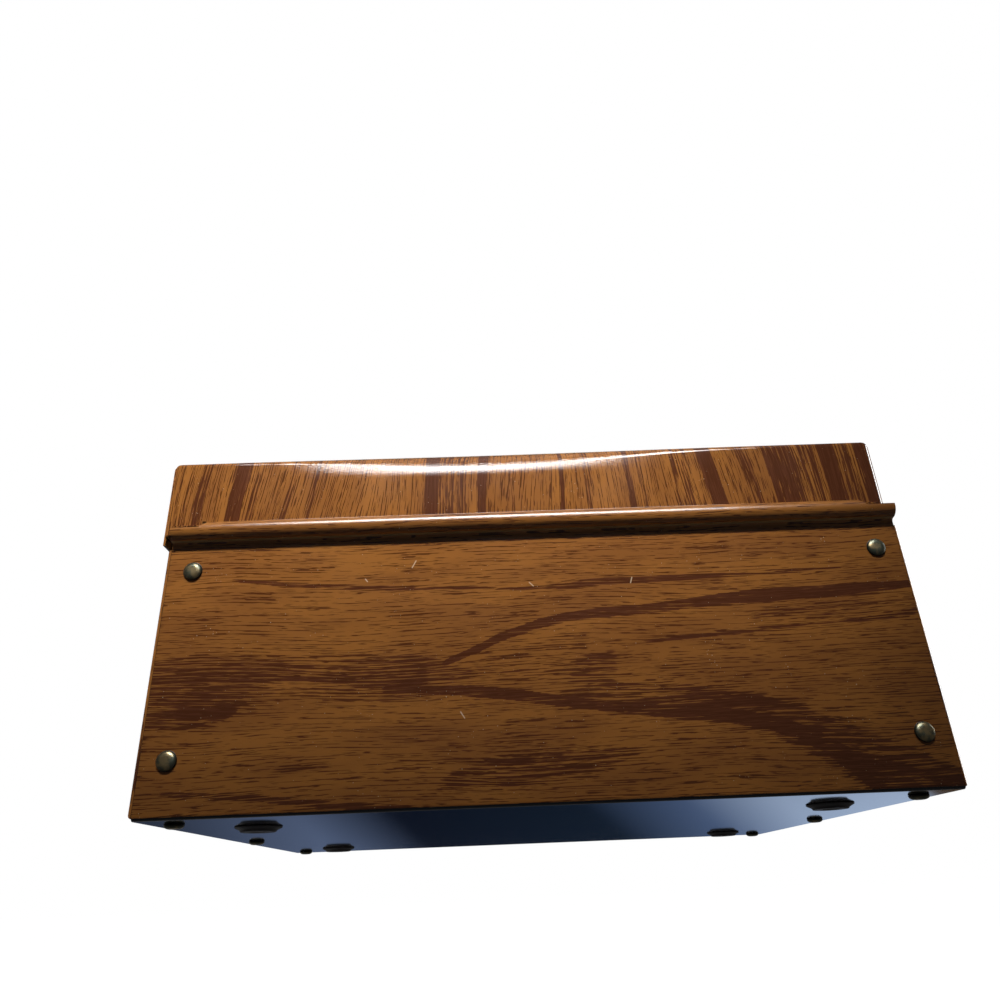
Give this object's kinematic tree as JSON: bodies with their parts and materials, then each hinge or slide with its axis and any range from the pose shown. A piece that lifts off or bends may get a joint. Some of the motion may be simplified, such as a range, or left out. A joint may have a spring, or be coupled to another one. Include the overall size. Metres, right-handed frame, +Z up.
{
  "type": "file box",
  "caption": "Folded sheet-steel box for papers, with riveted corners, low feet and a lid that swings up on a rolled hinge along the back.",
  "frame": {"origin": "under the middle of the body, on the plane the feet stand on", "axes": "+X along the back panel, to the right as seen from behind; +Y from the hinge at the back to the front; +Z up"},
  "size_m": [0.2241, 0.1952, 0.1089],
  "materials": {
    "wrap_steel": "wood-grain print under gloss lacquer",
    "plate_steel": "wood-grain print under gloss lacquer",
    "lid_steel": "wood-grain print under gloss lacquer",
    "rivet_brass": "tarnished",
    "foot_rubber": "matte"
  },
  "bodies": {
    "box": {"body_wrap": "wrap_steel", "end_plate_left": "plate_steel", "end_plate_right": "plate_steel", "foot_back_left": "foot_rubber", "foot_back_right": "foot_rubber", "foot_front_left": "foot_rubber", "foot_front_right": "foot_rubber", "rivet_back_left_lower": "rivet_brass", "rivet_back_left_upper": "rivet_brass", "rivet_back_right_lower": "rivet_brass", "rivet_back_right_upper": "rivet_brass", "rivet_bottom_left_back": "rivet_brass", "rivet_bottom_left_front": "rivet_brass", "rivet_bottom_left_middle": "rivet_brass", "rivet_bottom_right_back": "rivet_brass", "rivet_bottom_right_front": "rivet_brass", "rivet_bottom_right_middle": "rivet_brass", "rivet_front_left_lower": "rivet_brass", "rivet_front_left_upper": "rivet_brass", "rivet_front_right_lower": "rivet_brass", "rivet_front_right_upper": "rivet_brass"},
    "lid": {"lid": "lid_steel"}
  },
  "joints": [
    {"name": "lid_hinge", "type": "hinge", "parent": "box", "child": "lid", "pos_m": [0, -0.096, 0.0853], "axis": [1, 0, 0], "range_deg": [0, 115]}
  ]
}
